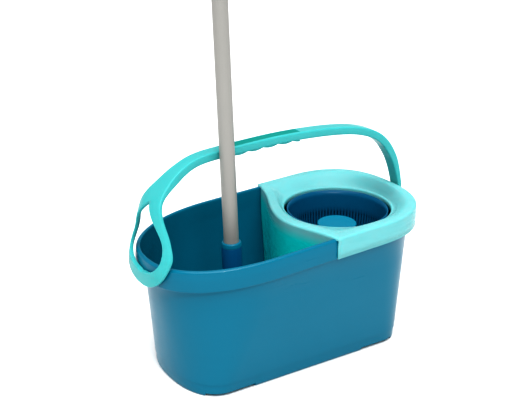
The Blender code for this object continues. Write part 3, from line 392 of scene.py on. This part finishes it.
grown = GAP + INSERT_WALL
half = RIM[2] + grown
edge = [(0.032 + k * 0.012, -half, True) for k in range(7)]
edge += [(x, y, True) for x, y in oval(RIM, -grown) if x > 0.112]
edge += [(0.108 - k * 0.013, half, True) for k in range(5)] + [(0.056, half, True)]
edge += [(BASKET_X - p.x, p.y * DIVIDER_HALF_WIDTH, False) for p in through(DIVIDER, 10)]
bm = bmesh.new()
columns = []
for x, y, is_skirt in edge:
    angle = math.atan2(y, x - BASKET_X)
    spoke = Vector((math.cos(angle), math.sin(angle)))
    lip = Vector((BASKET_X, 0)) + spoke * OPENING_RADIUS
    border = Vector((x, y))
    out = (border - lip).normalized()
    top = rim_height(x) + GAP + INSERT_WALL
    rows = [(lip, OPENING_HEIGHT - 0.012), (lip, OPENING_HEIGHT - 0.006)]
    rows += [(lip + out * inset, OPENING_HEIGHT - drop) for inset, drop in corner(0.003, 6)]
    start, brim = lip + out * 0.003, border - out * 0.013
    for k in range(1, 15):
        share = k / 15
        rise = math.sin(share * math.pi / 2) ** 1.3
        rows.append((start.lerp(brim, share), OPENING_HEIGHT + (top - OPENING_HEIGHT) * rise))
    rows += [(brim, top), (border - out * 0.008, top)]
    rows += [(border - out * inset, top - drop) for inset, drop in reversed(corner(0.0042, 7))]
    deck_rows = len(rows)
    if is_skirt:
        rows += [(border, top - 0.012), (border, top - 0.024)]
        rows.append((border, top - INSERT_WALL - SKIRT_HEIGHT + 0.001))
    else:
        for height in (0.222, 0.200, 0.170, 0.140, 0.110, 0.080, 0.050, 0.030):
            width = 0.103 + 0.0285 * height / 0.2105 - WALL - 0.0006
            rows.append((Vector((x, y * min(width / DIVIDER_HALF_WIDTH, 1.0))), height))
    columns.append((is_skirt, [bm.verts.new((BUCKET_X + p.x, p.y, z)) for p, z in rows]))
for k, (is_skirt, column) in enumerate(columns):
    next_skirt, following = columns[(k + 1) % len(columns)]
    shared = min(len(column), len(following)) if is_skirt == next_skirt else deck_rows
    for i in range(shared - 1):
        bm.faces.new((column[i], column[i + 1], following[i + 1], following[i]))
insert = solid("push_on_insert", bm, turquoise, "root", "spin_insert")
sheet = insert.modifiers.new("Sheet", "SOLIDIFY")
sheet.thickness, sheet.offset, sheet.use_even_offset = INSERT_WALL, -1, True

# Wringer basket: a dark blue slotted basket that runs on a steel axle, with a mid blue cap over its
# column. The post and the bushes are bucket blue; the axle and the washer are steel.
basket_blue = plastic("basket_blue", shade(0, 86, 120), 0.3)
hub_blue = plastic("hub_blue", shade(0, 119, 146), 0.3)
BASKET_BOTTOM = 0.107
basket_top = OPENING_HEIGHT - 0.0035
hub_top = basket_top - 0.028
wall_low, wall_high = (0.0778, BASKET_BOTTOM + 0.011), (0.0898, basket_top - 0.0006)
inside = [(0.0300, hub_top - 0.0042), (0.0312, hub_top - 0.006)]
inside += [(0.0325 + 0.0004 * k, BASKET_BOTTOM + 0.020 - 0.005 * k) for k in range(3)]
inside += [(0.0345, BASKET_BOTTOM + 0.0052), (0.037, BASKET_BOTTOM + 0.0036), (0.041, BASKET_BOTTOM + 0.0029)]
inside += [(0.055, BASKET_BOTTOM + 0.0028), (0.068, BASKET_BOTTOM + 0.0028)]
inside += [(0.0735, BASKET_BOTTOM + 0.0040), (0.0765, BASKET_BOTTOM + 0.0068), wall_low]
slot_rows = range(len(inside), len(inside) + 7)
for k in range(1, 13):
    share = k / 12
    inside.append(tuple(low + (high - low) * share for low, high in zip(wall_low, wall_high)))
SLOTS = 90
bm = bmesh.new()
spokes = []
for k in range(SLOTS):
    for share in (0.0, 0.32, 0.66):
        angle = (k + share) / SLOTS * 2 * math.pi
        spoke = [
            (BUCKET_X + BASKET_X + r * math.cos(angle), r * math.sin(angle), z) for r, z in inside
        ]
        spokes.append([bm.verts.new(point) for point in spoke])
for k, spoke in enumerate(spokes):
    following = spokes[(k + 1) % len(spokes)]
    for i in range(len(inside) - 1):
        if k % 3 == 0 and i in slot_rows:
            continue
        bm.faces.new((spoke[i], following[i], following[i + 1], spoke[i + 1]))
basket = solid("slotted_basket", bm, basket_blue, "basket", "wringer_basket")
sheet = basket.modifiers.new("Sheet", "SOLIDIFY")
sheet.thickness, sheet.offset = 0.0021, -1
boss = [(0.0043, 0), (0.011, 0), (0.011, 0.040), (0.0043, 0.040)]
basket_boss = lathe([(r, z + BASKET_BOTTOM) for r, z in boss], 48, (BUCKET_X + BASKET_X, 0, 0))
solid("basket_boss", basket_boss, basket_blue, "basket")

cap = [(0, hub_top - 0.0035), (0.0262, hub_top - 0.0035), (0.0262, hub_top - 0.012)]
cap += [(0.0285, hub_top - 0.012), (0.0287, hub_top - 0.0035), (0.0342, hub_top - 0.0035)]
cap += [(0.035 - inset, hub_top - drop) for inset, drop in corner(0.0022, 6)]
cap += [(0.0290, hub_top - 0.0002), (0.0275, hub_top - 0.0008)]
cap += [(0.0255, hub_top - 0.0010), (0, hub_top - 0.0010)]
solid("column_cap", lathe(cap, 96, (BUCKET_X + BASKET_X, 0, 0)), hub_blue, "basket", "basket_hub")


def brushed(slot, colour, roughness, metallic):
    """Drawn metal: fine lines along the height and a gloss that changes with them."""
    material = bpy.data.materials.new(slot + "_metal")
    material.use_nodes, material["slot"] = True, slot
    shader = material.node_tree.nodes["Principled BSDF"]
    start = Wire(material.node_tree)
    place = start.node("TexCoord", output=3)
    along = start.node("Mapping", {"Vector": place, "Scale": (900.0, 900.0, 9.0)})
    lines = start.node("TexNoise", {"Vector": along, "Scale": 1.0, "Detail": 3.0})
    clouds = start.node("TexNoise", {"Vector": place, "Scale": 14.0, "Detail": 4.0})
    feed = material.node_tree.links.new
    blend = lines * 0.5 + clouds * 0.5
    feed(blend.mix(tinted(colour, 0.94), tinted(colour, 1.06)).output, shader.inputs["Base Color"])
    feed((roughness + (lines - 0.5) * 0.16 + (clouds - 0.5) * 0.08).output, shader.inputs["Roughness"])
    bump = start.node("Bump", {"Height": lines, "Strength": 0.35, "Distance": 0.00004})
    feed(bump.output, shader.inputs["Normal"])
    shader.inputs["Metallic"].default_value = metallic
    return material


steel = brushed("steel", shade(196, 198, 200), 0.26, 1.0)


def break_edges(piece, width, segments, angle):
    """Rounds the edges that are sharper than the angle."""
    softened = piece.modifiers.new("Edges", "BEVEL")
    softened.width, softened.segments, softened.limit_method = width, segments, "ANGLE"
    softened.angle_limit = math.radians(angle)


def dress(node, material, edge):
    """Gives a CAD node that stays in view its material, and breaks its edges."""
    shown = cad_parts[node]
    shown.data.materials.clear()
    shown.data.materials.append(material)
    break_edges(shown, edge, 2, 40)


for node in ("axle_post", "left_pivot_bush", "right_pivot_bush"):
    dress(node, bucket_blue, 0.0004)
for node in ("basket_axle", "thrust_washer"):
    dress(node, steel, 0.0003)

# Bail: one turquoise moulding. A flat arch carries the grip; at the pouring end it opens into a loop
# for the fingers, and at the wringer end it runs down as a plain leg. Pins on both ends turn in the
# bucket's bushes.
handle_turquoise = plastic("turquoise", shade(68, 167, 168), 0.3, drift=0.035, glow=0.35)
inlay_turquoise = plastic(
    "dark_turquoise", shade(0, 130, 122), 0.55, pebble=0.00012, pebble_size=0.0012, coat=0.0,
)
LOOP_THICKNESS, LEG_THICKNESS, ARCH_THICKNESS = 0.007, 0.008, 0.014
SWING_GAP = 0.0005
BAIL_LEFT = RIM[0] - SWING_GAP - LOOP_THICKNESS
BAIL_RIGHT = RIM[1] + 0.011 + LEG_THICKNESS
ARCH_HALF_WIDTH, LEG_HALF_WIDTH = 0.0125, 0.0125
LOOP_WIDEST, LOOP_END, LOOP_HALF_WIDTH = 0.053, 0.240, 0.0645
HOLE_START, HOLE_WIDEST, HOLE_END, HOLE_HALF_WIDTH = 0.023, 0.056, 0.141, 0.0515
BAIL_CURVE = (  # outer face: (share of the half span in x, height above the pivots)
    (-1.000, -0.0115), (-1.000, 0.0555), (-0.982, 0.0920), (-0.927, 0.1230),
    (-0.826, 0.1505), (-0.728, 0.1700), (-0.606, 0.1835), (-0.413, 0.1890), (0.005, 0.1935),
    (0.385, 0.1895), (0.639, 0.1785), (0.816, 0.1560), (0.930, 0.1170), (0.983, 0.0710),
    (1.000, 0.0305), (1.000, -0.0125),
)
LOOP_TAPER = (  # the first point only makes the curve level at the widest place
    (0.030, 0.0560), (LOOP_WIDEST, LOOP_HALF_WIDTH), (0.080, 0.0545), (0.116, 0.0390), (0.150, 0.0265),
    (0.180, 0.0185), (0.210, 0.0140), (LOOP_END, ARCH_HALF_WIDTH),
)
middle, half_span = (BAIL_LEFT + BAIL_RIGHT) / 2, (BAIL_RIGHT - BAIL_LEFT) / 2
bail_line = through([(middle + share * half_span, PIVOT_HEIGHT + rise) for share, rise in BAIL_CURVE], 24)
lengths = [0.0]
for a, b in zip(bail_line, bail_line[1:]):
    lengths.append(lengths[-1] + (b - a).length)
BAIL_LENGTH = lengths[-1]
taper = through(LOOP_TAPER, 12)


def smoothstep(value, low, high):
    t = min(max((value - low) / (high - low), 0.0), 1.0)
    return t * t * (3 - 2 * t)


def bail_at(distance):
    distance = min(max(distance, 0.0), BAIL_LENGTH)
    k = max(i for i in range(len(lengths) - 1) if lengths[i] <= distance)
    span = lengths[k + 1] - lengths[k]
    point = bail_line[k].lerp(bail_line[k + 1], (distance - lengths[k]) / span)
    ahead, behind = bail_line[min(k + 3, len(bail_line) - 1)], bail_line[max(k - 2, 0)]
    tangent = (ahead - behind).normalized()
    return point, Vector((-tangent.y, tangent.x))


def bail_half_width(s):
    if s < LOOP_WIDEST:
        return LOOP_HALF_WIDTH * max(1 - ((LOOP_WIDEST - s) / (LOOP_WIDEST + 0.0004)) ** 2.3, 0) ** (1 / 2.3)
    if s < LOOP_END:
        a, b = next((a, b) for a, b in zip(taper, taper[1:]) if b.x >= s)
        return a.y + (b.y - a.y) * (s - a.x) / (b.x - a.x)
    left = BAIL_LENGTH - s
    width = ARCH_HALF_WIDTH + (LEG_HALF_WIDTH - ARCH_HALF_WIDTH) * smoothstep(-left, -0.15, -0.03)
    if left < LEG_HALF_WIDTH:
        width *= math.sqrt(max(1 - ((LEG_HALF_WIDTH - left) / (LEG_HALF_WIDTH + 0.0004)) ** 2, 0))
    return width


def hole_half_width(s):
    if s <= HOLE_START or s >= HOLE_END:
        return 0.0
    if s < HOLE_WIDEST:
        share = (HOLE_WIDEST - s) / (HOLE_WIDEST - HOLE_START)
        return HOLE_HALF_WIDTH * math.sqrt(max(1 - share ** 2, 0))
    return HOLE_HALF_WIDTH * math.cos((s - HOLE_WIDEST) / (HOLE_END - HOLE_WIDEST) * math.pi / 2) ** 1.1


def bail_thickness(s):
    thickness = LOOP_THICKNESS + (ARCH_THICKNESS - LOOP_THICKNESS) * smoothstep(s, HOLE_END, LOOP_END - 0.04)
    leg = smoothstep(s, BAIL_LENGTH - 0.15, BAIL_LENGTH - 0.05)
    return thickness + (LEG_THICKNESS - ARCH_THICKNESS) * leg


def bail_point(s, across, depth):
    point, out = bail_at(s)
    height = point.y - PIVOT_HEIGHT
    wrap = 640.0 * (1 - smoothstep(s, 0.070, 0.170))
    tuck = wrap * (across ** 4 + 2 * across ** 2 * height ** 2)
    return (BUCKET_X + point.x - out.x * depth + tuck, across, point.y - out.y * depth)


def bail_section(s, side):
    """One strip's closed section, as (across, depth): inner edge, face, outer edge, back."""
    half, hole, thickness = bail_half_width(s), hole_half_width(s), bail_thickness(s)
    outer = min(0.0026, (half - hole) * 0.4)
    inner = min(0.0020, (half - hole) * 0.4, hole)
    section = []
    for face in (0, 1):
        row = [(hole + inset, drop) for inset, drop in corner(inner, 3)]
        row.append((hole + (half - hole) * 0.5, 0.0))
        row += [(half - inset, drop) for inset, drop in reversed(corner(outer, 4))]
        if face:
            row = [(y, thickness - depth) for y, depth in reversed(row)]
        section += row
    return [(side * y, depth) for y, depth in section]


stations = [LOOP_WIDEST * (1 - math.cos(k / 22 * math.pi / 2)) for k in range(22)]
stations += [HOLE_START + step for step in (0.0001, 0.0005, 0.0018, 0.0038)]
stations += [LOOP_WIDEST + (LOOP_END - LOOP_WIDEST) * k / 54 for k in range(54)] + [HOLE_END]
leg_end = BAIL_LENGTH - LEG_HALF_WIDTH
stations += [LOOP_END + (leg_end - LOOP_END) * k / 90 for k in range(91)]
stations += [leg_end + LEG_HALF_WIDTH * math.sin(k / 9 * math.pi / 2) for k in range(1, 10)]
stations.sort()
bm = bmesh.new()
rows = []
for s in stations:
    strips = []
    for side in (-1, 1):
        strips.append([bm.verts.new(bail_point(s, y, depth)) for y, depth in bail_section(s, side)])
    rows.append((hole_half_width(s) > 0, strips))
for (open_a, row_a), (open_b, row_b) in zip(rows, rows[1:]):
    for a, b in zip(row_a, row_b):
        count = len(a)
        for i in range(count if open_a or open_b else count - 1):
            j = (i + 1) % count
            bm.faces.new((a[i], a[j], b[j], b[i]))
for is_open, strips in (rows[0], rows[-1]):
    for strip in strips:
        face, behind = strip[:len(strip) // 2], strip[len(strip) // 2:][::-1]
        for i in range(len(face) - 1):
            bm.faces.new((face[i], face[i + 1], behind[i + 1], behind[i]))
bail = solid("bail_moulding", bm, handle_turquoise, "bail", "bail_handle")
boss_end = WALL_TOP[1] + 0.003
boss = rod(0.012, 0, BAIL_RIGHT - LEG_THICKNESS + 0.003 - boss_end)
carve(bail, lathe(boss, 48, (BUCKET_X + boss_end, 0, PIVOT_HEIGHT), ALONG_X), "UNION")


def bar(start, end, half_width, top, bottom, count):
    """A closed bar that follows the bail; top and bottom are depths below its outer face."""
    rings = []
    for k in range(count + 1):
        s = start + (end - start) * k / count
        corners = ((-1, top), (1, top), (1, bottom(k / count)), (-1, bottom(k / count)))
        rings.append([bail_point(s, side * half_width, depth) for side, depth in corners])
    return loft(rings)


def distance_at(x):
    return next(d for d, p in zip(lengths, bail_line) if p.x > x and p.y > PIVOT_HEIGHT + 0.15)


grip_start, grip_end = distance_at(-0.105), distance_at(0.045)
carve(bail, bar(grip_start, grip_end, 0.0088, -0.004, lambda share: 0.0023, 40))
seat = bar(grip_start, grip_end, 0.0103, ARCH_THICKNESS - 0.004, lambda share: ARCH_THICKNESS + 0.01, 40)
carve(bail, seat)
inlay = bar(grip_start + GAP, grip_end - GAP, 0.0085, GAP, lambda share: 0.002, 40)
inlay = solid("soft_grip_inlay", inlay, inlay_turquoise, "bail", "grip_inlay")
under = bar(
    grip_start + GAP, grip_end - GAP, 0.0100, ARCH_THICKNESS - 0.0037,
    lambda share: ARCH_THICKNESS + 0.003 * abs(math.cos(share * 5 * math.pi)) ** 0.8, 150,
)
under = solid("finger_grip", under, handle_turquoise, "bail", "grip_underside")
for piece, width in ((inlay, 0.0006), (under, 0.0009)):
    break_edges(piece, width, 3, 50)
for node in ("left_pivot_pin", "right_pivot_pin"):
    dress(node, handle_turquoise, 0.0004)

# Mop head: a round blue plate with a fork on a bolt, and a ring of white microfibre strands that is
# sewn under the plate's edge and spreads over the bucket's floor.
MOP_X, MOP_Y = BUCKET_X - 0.096, -0.030
pad_low, pad_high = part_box("mop_pad")
PAD_RADIUS = (pad_high.x - pad_low.x) / 2
plate_low, plate_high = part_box("mop_plate")
PLATE_RADIUS = (plate_high.x - plate_low.x) / 2
plate_floor, plate_face = plate_low.z, plate_low.z + 0.0045
plate = [(0.0043, plate_floor), (PLATE_RADIUS - 0.001, plate_floor), (PLATE_RADIUS, plate_floor + 0.001)]
plate += [(PLATE_RADIUS - inset, plate_face + 0.001 - drop) for inset, drop in corner(0.0012, 4)]
plate += [(PLATE_RADIUS - 0.003, plate_face + 0.0008), (PLATE_RADIUS - 0.0042, plate_face)]
plate += [(0.0275, plate_face), (0.0215, plate_face + 0.0008), (0.0178, plate_face + 0.0032)]
plate += [(0.0162, plate_high.z - 0.0012), (0.0150, plate_high.z), (0.0043, plate_high.z)]
solid("head_plate", lathe(plate, 96, (MOP_X, MOP_Y, 0)), bucket_blue, "mop_head", "mop_plate")

microfibre = bpy.data.materials.new("microfibre_pile")
microfibre.use_nodes, microfibre["slot"] = True, "microfibre"
shader = microfibre.node_tree.nodes["Principled BSDF"]
start = Wire(microfibre.node_tree)
place = start.node("TexCoord", output=3)
pile = start.node("TexNoise", {"Vector": place, "Scale": 1400.0, "Detail": 3.0})
tufts = start.node("TexNoise", {"Vector": place, "Scale": 120.0, "Detail": 3.0})
tint = (pile * 0.5 + tufts * 0.5).mix(shade(156, 162, 166), shade(208, 211, 211))
microfibre.node_tree.links.new(tint.output, shader.inputs["Base Color"])
nap = start.node("Bump", {"Height": pile, "Strength": 0.9, "Distance": 0.0004})
microfibre.node_tree.links.new(nap.output, shader.inputs["Normal"])
microfibre.node_tree.links.new((0.88 + (pile - 0.5) * 0.15).output, shader.inputs["Roughness"])
shader.inputs["Sheen Weight"].default_value = 0.35
shader.inputs["Sheen Roughness"].default_value = 0.5

draw = random.Random(7)
backing = [(0.012, pad_high.z - 0.003), (PLATE_RADIUS - 0.003, pad_high.z - 0.003)]
backing += [(PLATE_RADIUS - 0.002, pad_high.z), (0.012, pad_high.z)]
bm = lathe(backing, 96, (MOP_X, MOP_Y, 0))
STRAND_RADIUS, STRAND_STEPS, STRAND_SIDES = 0.0019, 8, 6
for root_radius, count in ((0.054, 120), (0.044, 96), (0.033, 72), (0.021, 44)):
    for k in range(count):
        angle = (k + draw.uniform(-0.3, 0.3)) / count * 2 * math.pi
        end_radius = min(root_radius + draw.uniform(0.010, 0.016), PAD_RADIUS - STRAND_RADIUS)
        swirl = draw.uniform(-0.10, 0.10)
        bottom = pad_low.z + STRAND_RADIUS + draw.uniform(0.0, 0.0022)
        path = []
        for step in range(STRAND_STEPS + 1):
            t = step / STRAND_STEPS
            reach = root_radius + (end_radius - root_radius) * math.sin(t * math.pi / 2)
            height = pad_high.z - 0.0022 + (bottom - pad_high.z + 0.0022) * t ** 0.8
            turn_by = angle + swirl * t
            spoke = Vector((math.cos(turn_by), math.sin(turn_by), 0))
            path.append(Vector((MOP_X, MOP_Y, height)) + spoke * reach)
        rings = []
        for step, point in enumerate(path):
            ahead, behind = path[min(step + 1, STRAND_STEPS)], path[max(step - 1, 0)]
            along = (ahead - behind).normalized()
            side = along.orthogonal().normalized()
            other = along.cross(side)
            bulge = 1.0 + 0.10 * math.sin(step * 2.4 + k)
            plump = STRAND_RADIUS * (0.55 if step in (0, STRAND_STEPS) else bulge)
            bearings = [i / STRAND_SIDES * 2 * math.pi for i in range(STRAND_SIDES)]
            rings.append([
                bm.verts.new(point + (side * math.cos(a) + other * math.sin(a)) * plump) for a in bearings
            ])
        for low, high in zip(rings, rings[1:]):
            for i in range(STRAND_SIDES):
                j = (i + 1) % STRAND_SIDES
                bm.faces.new((low[i], low[j], high[j], high[i]))
        bm.faces.new(list(reversed(rings[0])))
        bm.faces.new(rings[-1])
strands = solid("microfibre_ring", bm, microfibre, "mop_head", "mop_pad", sharp=70)
collar_blue = plastic("collar_blue", shade(0, 84, 124), 0.33)
dress("fork", collar_blue, 0.0004)
for node in ("fork_pin", "plate_bolt", "drive_spindle", "spindle_bearing"):
    dress(node, steel, 0.0002)
dress("drive_nut", collar_blue, 0.0003)

# Handle: a blue collar on the fork holds the outer tube; a sleeve and a twist ring join it to the inner
# tube, which carries a turquoise hand grip and a blue cap with a hanging eye. The tubes are grey coated.
tube_grey = brushed("grey_tube", shade(146, 145, 141), 0.4, 0.15)
pin_low, pin_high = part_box("fork_pin")
PIN_HEIGHT = (pin_low.z + pin_high.z) / 2
LEAN = Matrix.Rotation(math.radians(-2.3), 4, "Y")
FOOT = (MOP_X, MOP_Y, PIN_HEIGHT)


def on_handle(profile, steps=96):
    """A turned piece on the handle's own axis, with heights above the fork's pin."""
    return lathe(profile, steps, FOOT, LEAN)


def rounded(outer, height, radius):
    """A quarter round at the top of a piece's outer edge."""
    return [(outer - inset, height - drop) for inset, drop in corner(radius, 4)]


# Radii, and heights above the fork's pin.
TUBE, INNER_TUBE, TUBE_WALL = 0.0125, 0.011, 0.0011
TUBE_TOP, HANDLE_TOP = 0.620, 0.985
COLLAR, COLLAR_TOP = 0.017, 0.1635
collar = [(0, 0.010), (0.008, 0.010), (0.0098, 0.014), (0.0115, 0.020)]
collar += [(0.0115 + 0.0055 * smoothstep(k / 6, 0, 1), 0.020 + 0.016 * k / 6) for k in range(1, 7)]
collar += [(COLLAR, 0.10)] + rounded(COLLAR, COLLAR_TOP, 0.0006)
collar += [(TUBE + GAP, COLLAR_TOP), (TUBE + GAP, 0.055), (0.0035, 0.055), (0.0035, 0.035), (0, 0.035)]
collar = solid("joint_socket", on_handle(collar), collar_blue, "handle_lower", "joint_collar")
arc = [(0.009 * math.cos(k / 24 * math.pi), -0.009 * math.sin(k / 24 * math.pi)) for k in range(25)]
outline = [(0.009, 0.016), *arc, (-0.009, 0.016)]
tongue = loft([[(x, y, z) for x, z in outline] for y in (-0.009, 0.009)])
bmesh.ops.transform(tongue, matrix=Matrix.Translation(FOOT) @ LEAN, verts=tongue.verts)
carve(collar, tongue, "UNION")
carve(collar, lathe(rod(0.0038, -0.03, 0.03), 48, FOOT, LEAN @ ALONG_Y))
ring_low = COLLAR_TOP + GAP
ring = [(TUBE + GAP, ring_low), (COLLAR - 0.0004, ring_low), (COLLAR, ring_low + 0.0005)]
ring += [(COLLAR - 0.0002, ring_low + 0.003)] + rounded(COLLAR - 0.0008, ring_low + 0.008, 0.0025)
ring += [(TUBE + GAP, ring_low + 0.008)]
solid("collar_lip", on_handle(ring), bucket_blue, "handle_lower", "collar_ring")
tube = [(TUBE - TUBE_WALL, 0.085), (TUBE - 0.0003, 0.085), (TUBE, 0.0853), (TUBE, 0.35)]
tube += rounded(TUBE, TUBE_TOP, 0.0003) + [(TUBE - TUBE_WALL, TUBE_TOP)]
solid("outer_tube", on_handle(tube), tube_grey, "handle_lower", "lower_tube")
tube = [(INNER_TUBE - TUBE_WALL, 0.440), (INNER_TUBE - 0.0003, 0.440)]
tube += [(INNER_TUBE, 0.4403), (INNER_TUBE, 0.70)]
tube += rounded(INNER_TUBE, HANDLE_TOP, 0.0003) + [(INNER_TUBE - TUBE_WALL, HANDLE_TOP)]
solid("inner_tube", on_handle(tube), tube_grey, "handle_upper", "upper_tube")

sleeve_bore, sleeve_outer, sleeve_top = TUBE + GAP, TUBE + 0.0028, 0.648
sleeve = [(sleeve_bore, 0.575), (sleeve_outer - 0.0008, 0.575), (sleeve_outer - 0.0002, 0.5775)]
sleeve += [(sleeve_outer, 0.579), (sleeve_outer, 0.606), (sleeve_outer, sleeve_top)]
sleeve += [(INNER_TUBE + GAP, sleeve_top), (INNER_TUBE + GAP, TUBE_TOP + GAP), (sleeve_bore, TUBE_TOP + GAP)]
solid("guide_sleeve", on_handle(sleeve), collar_blue, "handle_lower", "clamp_sleeve")
LOCK = 0.0185
lock_low, lock_high = sleeve_top - 0.036, sleeve_top + 0.006
lock = [(sleeve_outer + GAP, lock_low), (LOCK - 0.002, lock_low), (LOCK - 0.0006, lock_low + 0.0022)]
lock += [(LOCK - 0.0001, lock_low + 0.005), (LOCK - 0.0003, lock_low + 0.018)]
lock += [(LOCK - 0.0012, lock_high - 0.006), (LOCK - 0.0018, lock_high - 0.002)]
lock += [(LOCK - 0.0032, lock_high), (INNER_TUBE + GAP, lock_high)]
lock += [(INNER_TUBE + GAP, sleeve_top + GAP), (sleeve_outer + GAP, sleeve_top + GAP)]
lock = on_handle(lock, 144)
axis = LEAN.to_3x3() @ Vector((0, 0, 1))
for vert in lock.verts:
    offset = vert.co - Vector(FOOT)
    height = offset.dot(axis)
    spoke = offset - axis * height
    if spoke.length > LOCK - 0.0013 and lock_low + 0.003 < height < lock_high - 0.004:
        bearing = math.atan2(spoke.y, spoke.x)
        vert.co -= spoke.normalized() * 0.0007 * (0.5 + 0.5 * math.cos(24 * bearing))
solid("twist_ring", lock, handle_turquoise, "lock", "lock_ring")

GRIP = 0.0145
grip_low, grip_high = HANDLE_TOP - 0.115, HANDLE_TOP
grip = [(INNER_TUBE + GAP, grip_low), (INNER_TUBE + 0.0018, grip_low), (GRIP - 0.0008, grip_low + 0.004)]
for k in range(89):
    share = k / 88
    groove = 0.00035 * (1 - math.cos(share * 22 * 2 * math.pi)) * (0.08 < share < 0.92)
    grip.append((GRIP - 0.0012 * math.sin(share * math.pi) - groove, grip_low + 0.006 + 0.105 * share))
grip += rounded(GRIP, grip_high, 0.001) + [(INNER_TUBE + GAP, grip_high)]
solid("hand_sleeve", on_handle(grip), handle_turquoise, "handle_upper", "hand_grip")
cap_low, spigot = grip_high + GAP, INNER_TUBE - 0.0014
cap = [(0, cap_low - 0.018), (spigot, cap_low - 0.018), (spigot, cap_low), (GRIP - 0.0012, cap_low)]
cap += [(GRIP - 0.0006, cap_low + 0.0006), (GRIP - 0.0005, cap_low + 0.004)]
for k in range(1, 13):
    angle = k / 12 * math.pi / 2
    cap.append(((GRIP - 0.0005) * math.cos(angle) ** 0.8, cap_low + 0.004 + 0.030 * math.sin(angle)))
cap[-1] = (0, cap_low + 0.034)
cap = solid("hanging_cap", on_handle(cap), collar_blue, "handle_upper", "end_cap")
eye_place = Vector(FOOT) + LEAN.to_3x3() @ Vector((0, 0, cap_low + 0.034 * 0.46))
carve(cap, lathe(rod(0.0065, -0.03, 0.03), 48, eye_place, LEAN @ ALONG_Y))
break_edges(cap, 0.0007, 2, 50)
